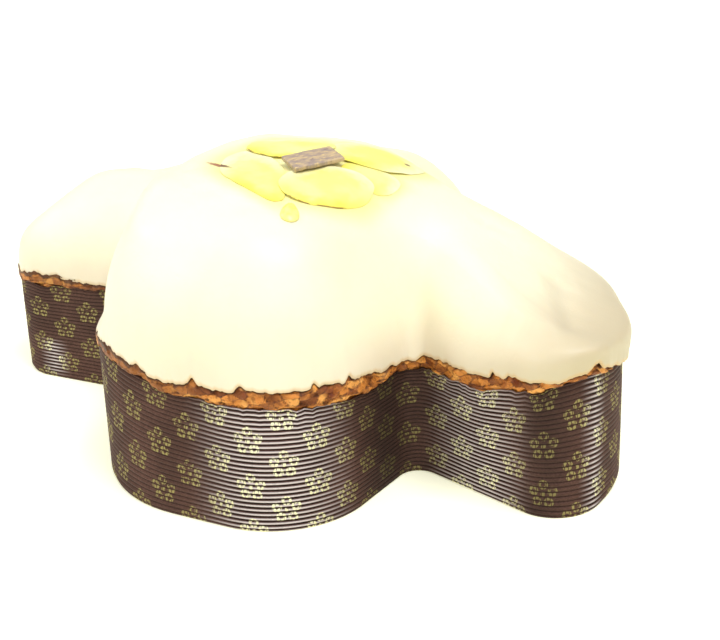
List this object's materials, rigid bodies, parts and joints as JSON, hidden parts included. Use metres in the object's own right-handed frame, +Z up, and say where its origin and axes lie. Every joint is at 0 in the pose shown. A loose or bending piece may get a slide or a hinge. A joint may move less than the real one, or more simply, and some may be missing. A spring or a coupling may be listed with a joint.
{
  "type": "colomba cake",
  "caption": "Iced Easter dove cake in its corrugated paper case, with a yellow flower and a small chocolate plaque on top.",
  "frame": {"origin": "centre of the footprint's bounding box, on the surface the cake stands on", "axes": "+X along the length towards the tail lobe, -Y towards the shown wing, +Z up"},
  "size_m": [0.2978, 0.21, 0.1251],
  "materials": {
    "paper_case": "corrugated, plum-brown with pale gold flowers, slight sheen",
    "cake": "baked golden-brown crust",
    "icing": "smooth ivory-white icing, soft sheen",
    "petal": "thin pale yellow sugar petal, satin",
    "yellow_drop": "yellow glaze, glossy",
    "plaque": "chocolate with faint marbling, satin"
  },
  "bodies": {
    "root": {"paper_case": "paper_case", "cake": "cake", "icing": "icing", "petal_left": "petal", "petal_right": "petal", "petal_front": "petal", "petal_back_right": "petal", "petal_back_left": "petal", "yellow_drop": "yellow_drop", "plaque": "plaque"}
  },
  "joints": []
}
